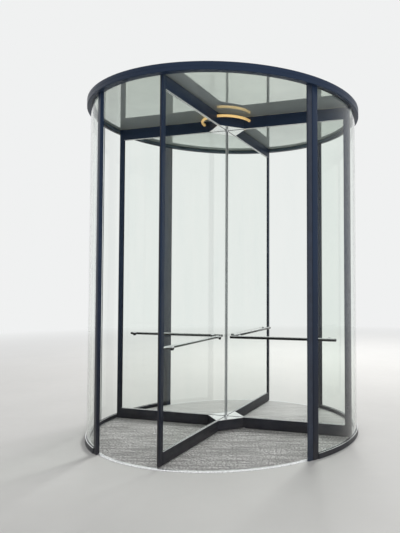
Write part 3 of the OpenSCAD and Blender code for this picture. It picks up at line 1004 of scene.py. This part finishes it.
class DOOR_OT_fit_bars(bpy.types.Operator):
    """Turn the push bars: a tube with domed ends, flared stems, rosettes and through bolts, each
    one a profile turned about its own axis"""

    bl_idname = "door.fit_bars"
    bl_label = "Push bars"

    def execute(self, context):
        b, w = context.scene.door_bars, context.scene.door_wings
        cap, face, thick, wide, z = 0.006, w.glass / 2, b.rosette_thick, b.rosette, b.height
        ends = dome(cap, b.radius, b.inner + cap, -1)[::-1], dome(cap, b.radius, b.outer - cap, 1)
        shells = [lathe((0, -b.offset, z), (1, 0, 0), np.concatenate(ends), 32)]
        sunk, past, bolt, bolts = 0.002, 0.001, 0.0058, []
        reach = b.offset - face - sunk
        # profiles of stem, rosette, socket and bolt: height along their axis and radius there
        flare = [(0, 0.0022), (0.006, 0.0022), (0.008, 0.001), (0.012, 0),
                 (reach - 0.012, 0), (reach - 0.009, 0.001), (reach, 0.004)]  # fmt: skip
        flare = np.array(flare) + (0, b.stem)
        rosette = [(0, wide - 0.0015), (0.0012, wide - 0.0015), (0.0012, wide),
                   (thick - 0.0014, wide), (thick - 0.0004, wide - 0.0006),
                   (thick, wide - 0.0022)]  # fmt: skip
        socket = [(thick, 0.0062), (thick - 0.0016, 0.0056), (thick - 0.0016, 0.0002)]
        through = [(0, bolt), (2 * (face + past), bolt)]
        for x in (b.inner + b.holder, b.outer - b.holder):
            shells.append(lathe((x, -b.offset + sunk, z), (0, 1, 0), flare, 28))
            shells.append(lathe((x, -face, z), (0, -1, 0), rosette, 32))
            shells.append(lathe((x, face, z), (0, 1, 0), rosette + socket, 32))
            bolts.append(lathe((x, -face - past, z), (0, 1, 0), through, 20))
        for n, name in enumerate(WING_NAMES):
            # the front bar takes the lit copy of the bar finish, as painted light
            look = "lit_bar" if name == "front" else "bar"
            bar = in_wing(shells + bolts, w, n)
            piece(name + "_bar", bar, look, "rotor", name + "_push_bar")
        return {"FINISHED"}


class DOOR_OT_dress_pole(bpy.types.Operator):
    """Fit collars, edge seals and hub plate screws around the pole: rounded rectangles carried
    round the pole or up beside it, and a turned profile"""

    bl_idname = "door.dress_pole"
    bl_label = "Pole and hub trims"

    def execute(self, context):
        p, w = context.scene.door_pole, context.scene.door_wings
        collars = []
        first, last = math.radians(23), math.radians(67)  # between two wings, clear of both
        for z, up in ((w.rail_top, 1), (w.head, -1)):
            low, high = z - up * LAP, z + up * p.collar_height
            outline = block(p.radius + 2e-4, p.collar, low, high, [SHARP, SHARP, 0.003, 3e-4])
            collars.append(around(outline, first, last, 9))
        piece("pole_collars", in_all_wings(collars, w), "steel", "rotor")
        half = w.glass / 2 - 0.001
        strip = block(p.radius - 0.001, w.glass_in + LAP, -half, half, 3e-4)
        seals = in_all_wings([upright(strip, w.rail_top, w.head)], w)
        piece("glass_edge_seals", seals, "clear_seal", "rotor")
        head = [(-0.001, p.screw), (0.0003, p.screw), (0.0009, p.screw - 0.0006), (0.0009, 0.0023),
                (0.0002, 0.0020), (0.0002, 0.0001)]  # fmt: skip
        turns = [w.rest + n * TURN / 4 + math.radians(turn) for n in range(4) for turn in (32, 58)]
        screws = [lathe(on_circle(p.screw_ring, a, w.rail_top), (0, 0, 1), head, 20) for a in turns]
        piece("hub_plate_screws", screws, "bearing", "rotor")
        return {"FINISHED"}


class DOOR_OT_dress_crown(bpy.types.Operator):
    """Clip the crown ring to the top rails with turned rosettes where it enters them"""

    bl_idname = "door.dress_crown"
    bl_label = "Crown ring clips"

    def execute(self, context):
        p, w = context.scene.door_pole, context.scene.door_wings
        y, z = w.rail / 2 - 2e-4, p.crown_height
        x, wide = math.sqrt(p.crown**2 - y**2), p.crown_tube + 0.0014
        profile = [(0, wide), (0.0028, wide), (0.0036, p.crown_tube + 0.0006)]
        clips = [lathe((x, side * y, z), (0, side, 0), profile, 28) for side in (-1, 1)]
        piece("crown_ring_rosettes", in_all_wings(clips, w), "brass", "rotor")
        return {"FINISHED"}


class DOOR_OT_cover_top(bpy.types.Operator):
    """Press the dust cover, whose height depends on radius and angle, and seal the ceiling glass
    with a wedge carried round the axis"""

    bl_idname = "door.cover_top"
    bl_label = "Dust cover and ceiling seal"

    def execute(self, context):
        d = context.scene.door_drum
        outer, panels, screws = d.radius + d.ledge - 0.0003, 8, 32
        radii = np.r_[
            0.0005, np.linspace(0.05, 0.28, 6), 0.286, 0.292, 0.30, 0.306, 0.312,
            np.linspace(0.36, outer - 0.02, 12), outer - 0.014, outer - 0.006, outer,
        ]  # fmt: skip
        radius, turn = np.meshgrid(radii, np.linspace(0, TURN, 480, endpoint=False))
        # height of the pressing: seams between the panels, a ring around the hatch, and the rim
        seam = np.abs((turn * panels / TURN + 0.5) % 1 - 0.5) * TURN / panels * radius
        rib = np.clip((0.012 - seam) / 0.004, 0, 1) * (radius > 0.312)
        hatch = np.clip(1 - np.abs(radius - 0.299) / 0.009, 0, 1)
        rim = np.clip((radius - (outer - 0.014)) / 0.006, 0, 1)
        z = d.top - 0.0018 * (1 - np.maximum(np.maximum(rib, hatch), rim)) - 2e-4
        under = on_circle(radius[:, ::-1], turn, d.top - d.cover)
        cover = skin(np.concatenate((on_circle(radius, turn, z), under), 1), round_path=True)
        piece("dust_cover_panels", [cover], "sheet", "drum", "dust_cover")
        at, low = outer - 0.034, d.top - 0.0021
        turns = [TURN * (k + 0.5) / screws for k in range(screws)]
        head = [(0, 0.0062), (0.0012, 0.0058), (0.0019, 0.0034)]
        bolts = [lathe(on_circle(at, a, low), (0, 0, 1), head, 16) for a in turns]
        piece("dust_cover_screws", bolts, "bearing", "drum")
        back, over, lip = d.radius + 2e-4, d.ceiling + 2e-4, d.ceiling - 2e-4
        bead = [(back, over), (d.radius - 0.0035, lip), (back, d.ceiling - 0.004)]
        seal = around(rounded(bead, 3e-4, 2), 0, TURN, 192)
        piece("ceiling_seal", [seal], "gasket", "drum")
        return {"FINISHED"}


class DOOR_OT_set_stage(bpy.types.Operator):
    """Set the pale floor, the soft lights and the camera"""

    bl_idname = "door.set_stage"
    bl_label = "Stage, lights and camera"

    def floor(self, s):
        """Flat round floor just under the door, whose colour fades into the background far off."""
        radii, steps = np.r_[0.01, np.linspace(1, 8, 8), 14, 24, 40], 96
        turns = np.linspace(0, TURN, steps, endpoint=False)
        verts, quads, _ = skin(on_circle(radii[:, None], turns, -0.0005))
        mesh = bpy.data.meshes.new("stage_floor")
        mesh.from_pydata(verts.tolist(), [], quads.tolist() + [list(range(steps))])
        made = bpy.data.objects.new("stage_floor", mesh)
        bpy.context.scene.collection.objects.link(made)
        r = material("pale_floor")
        body = r.mix(r.span(r.noise(1.2, 3), 0, 1), s.floor, toned(s.floor, 0.96))
        r.put(Base_Color=body, Roughness=r.span(r.noise(8), 0.5, 0.6))
        away = r.node("VectorMath", {0: r.place}, operation="LENGTH")
        fade = r.maths("MULTIPLY", r.span(away.outputs["Value"], 0, 1, 5, 15), r.seen())
        r.share_out(fade, r.node("Emission", {"Color": s.background}))
        mesh.materials.append(r.owner)

    def world(self, s):
        """Even light from all sides. The camera, mirrors and glass see the plain background."""
        world = bpy.data.worlds.new("studio")
        bpy.context.scene.world = world
        r = Recipe(world, "Background", "World Output")
        r.put(Color=s.ambient, Strength=s.sky)
        r.share_out(r.seen(), r.node("Background", {"Color": s.background}))

    def light(self, name, place, target, size, watts):
        """Soft rectangular light that faces its target and doesn't show itself."""
        data = bpy.data.lights.new(name, "AREA")
        data.shape, data.size, data.size_y, data.energy = "RECTANGLE", *size, watts
        made = bpy.data.objects.new(name, data)
        made.location = place
        made.rotation_mode = "QUATERNION"
        made.rotation_quaternion = (Vector(target) - Vector(place)).to_track_quat("-Z", "Y")
        made.visible_camera = made.visible_transmission = made.visible_glossy = False
        bpy.context.scene.collection.objects.link(made)

    def execute(self, context):
        s = context.scene.door_stage
        self.floor(s)
        self.world(s)
        self.light("key", (5.8, -9.2, 3.6), (0, 0, 1.9), (5, 3.6), s.key)
        self.light("rear", (2.0, 8.4, 8.6), (0, 0, 0.2), (4.4, 3.0), s.rear)
        cam = bpy.data.objects.new("camera", bpy.data.cameras.new("camera"))
        cam.data.sensor_width, cam.data.lens = 36, s.lens
        cam.data.shift_x, cam.data.shift_y = s.shift_x, s.shift_y
        back = -Vector(s.forward).normalized()
        right = Vector((0, 0, 1)).cross(back).normalized()
        turn = Matrix((right, back.cross(right), back)).transposed().to_4x4()
        cam.matrix_world = Matrix.Translation(s.camera) @ turn @ Matrix.Rotation(s.roll, 4, "Z")
        context.scene.collection.objects.link(cam)
        context.scene.camera = cam
        context.scene.view_settings.view_transform = "Standard"
        return {"FINISHED"}


STEPS = (
    DOOR_OT_finish_nodes,
    DOOR_OT_lay_mat,
    DOOR_OT_fit_posts,
    DOOR_OT_fit_guards,
    DOOR_OT_fit_sills,
    DOOR_OT_fit_beams,
    DOOR_OT_seal_walls,
    DOOR_OT_fit_rails,
    DOOR_OT_seal_wings,
    DOOR_OT_trim_rails,
    DOOR_OT_fit_bars,
    DOOR_OT_dress_pole,
    DOOR_OT_dress_crown,
    DOOR_OT_cover_top,
    DOOR_OT_set_stage,
)


class DOOR_PT_panel(bpy.types.Panel):
    """Lists the steps that dress the door"""

    bl_idname = "DOOR_PT_panel"
    bl_label = "Revolving door"
    bl_space_type = "VIEW_3D"
    bl_region_type = "UI"
    bl_category = "Door"

    def draw(self, context):
        for step in STEPS:
            self.layout.operator(step.bl_idname)


GROUPS = {
    "door_drum": DrumSizes,
    "door_mat": MatSizes,
    "door_wings": WingSizes,
    "door_bars": BarSizes,
    "door_pole": PoleSizes,
    "door_finishes": FinishColours,
    "door_stage": StageSettings,
}


def register():
    for cls in (*GROUPS.values(), *STEPS, DOOR_PT_panel):
        bpy.utils.register_class(cls)
    for name, group in GROUPS.items():
        setattr(bpy.types.Scene, name, PointerProperty(type=group))


def unregister():
    for name in GROUPS:
        delattr(bpy.types.Scene, name)
    for cls in (DOOR_PT_panel, *reversed(STEPS), *GROUPS.values()):
        bpy.utils.unregister_class(cls)


def main():
    register()
    for step in STEPS:
        group, name = step.bl_idname.split(".")
        if getattr(getattr(bpy.ops, group), name)() != {"FINISHED"}:
            raise RuntimeError(f"{step.bl_label} didn't finish")
    bpy.context.view_layer.update()


if __name__ == "__main__":
    main()
